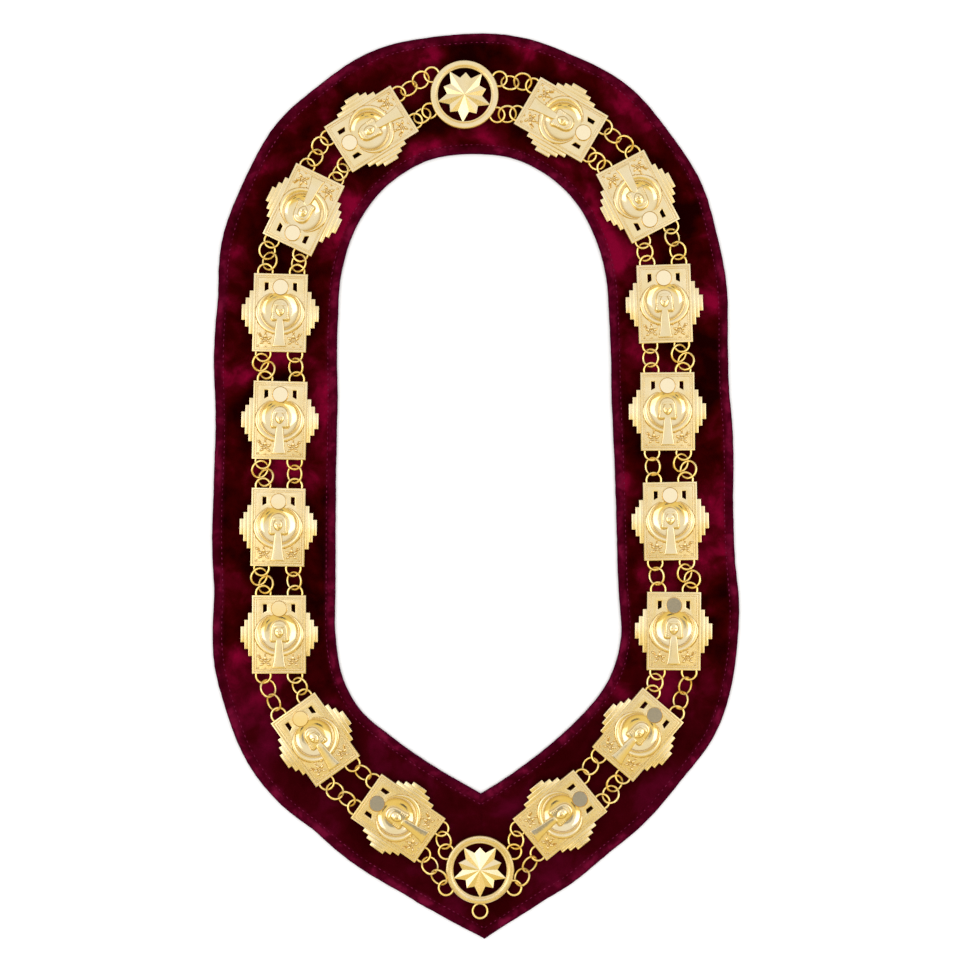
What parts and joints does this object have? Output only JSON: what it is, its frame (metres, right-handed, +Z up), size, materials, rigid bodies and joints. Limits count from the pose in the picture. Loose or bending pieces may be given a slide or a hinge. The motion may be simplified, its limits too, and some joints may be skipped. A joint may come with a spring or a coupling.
{
  "type": "chain of office collar",
  "caption": "Maroon velvet collar laid flat, with a gold chain of stepped relief plates and star medallions linked by strands of jump rings.",
  "frame": {"origin": "middle of the bounding box on the surface the collar lies on", "axes": "+Z up out of that surface, +Y toward the nape end, +X to the right as seen from in front"},
  "size_m": [0.3168, 0.5448, 0.0104],
  "materials": {
    "velvet": "maroon pile velvet with turned and stitched hems",
    "gold": "polished pale gold plating"
  },
  "bodies": {
    "root": {"velvet_collar": "velvet", "medallion_top": "gold", "medallion_bottom": "gold", "plate_left_1": "gold", "plate_left_2": "gold", "plate_left_3": "gold", "plate_left_4": "gold", "plate_left_5": "gold", "plate_left_6": "gold", "plate_left_7": "gold", "plate_left_8": "gold", "plate_right_1": "gold", "plate_right_2": "gold", "plate_right_3": "gold", "plate_right_4": "gold", "plate_right_5": "gold", "plate_right_6": "gold", "plate_right_7": "gold", "plate_right_8": "gold", "inner_ring_left_0": "gold", "inner_ring_left_1": "gold", "inner_ring_left_2": "gold", "inner_ring_left_3": "gold", "inner_ring_left_4": "gold", "inner_ring_left_5": "gold", "inner_ring_left_6": "gold", "inner_ring_left_7": "gold", "inner_ring_left_8": "gold", "inner_ring_right_0": "gold", "inner_ring_right_1": "gold", "inner_ring_right_2": "gold", "inner_ring_right_3": "gold", "inner_ring_right_4": "gold", "inner_ring_right_5": "gold", "inner_ring_right_6": "gold", "inner_ring_right_7": "gold", "inner_ring_right_8": "gold", "outer_rings_left_0": "gold", "outer_rings_left_1": "gold", "outer_rings_left_2": "gold", "outer_rings_left_3": "gold", "outer_rings_left_4": "gold", "outer_rings_left_5": "gold", "outer_rings_left_6": "gold", "outer_rings_left_7": "gold", "outer_rings_left_8": "gold", "outer_rings_right_0": "gold", "outer_rings_right_1": "gold", "outer_rings_right_2": "gold", "outer_rings_right_3": "gold", "outer_rings_right_4": "gold", "outer_rings_right_5": "gold", "outer_rings_right_6": "gold", "outer_rings_right_7": "gold", "outer_rings_right_8": "gold"}
  },
  "joints": []
}
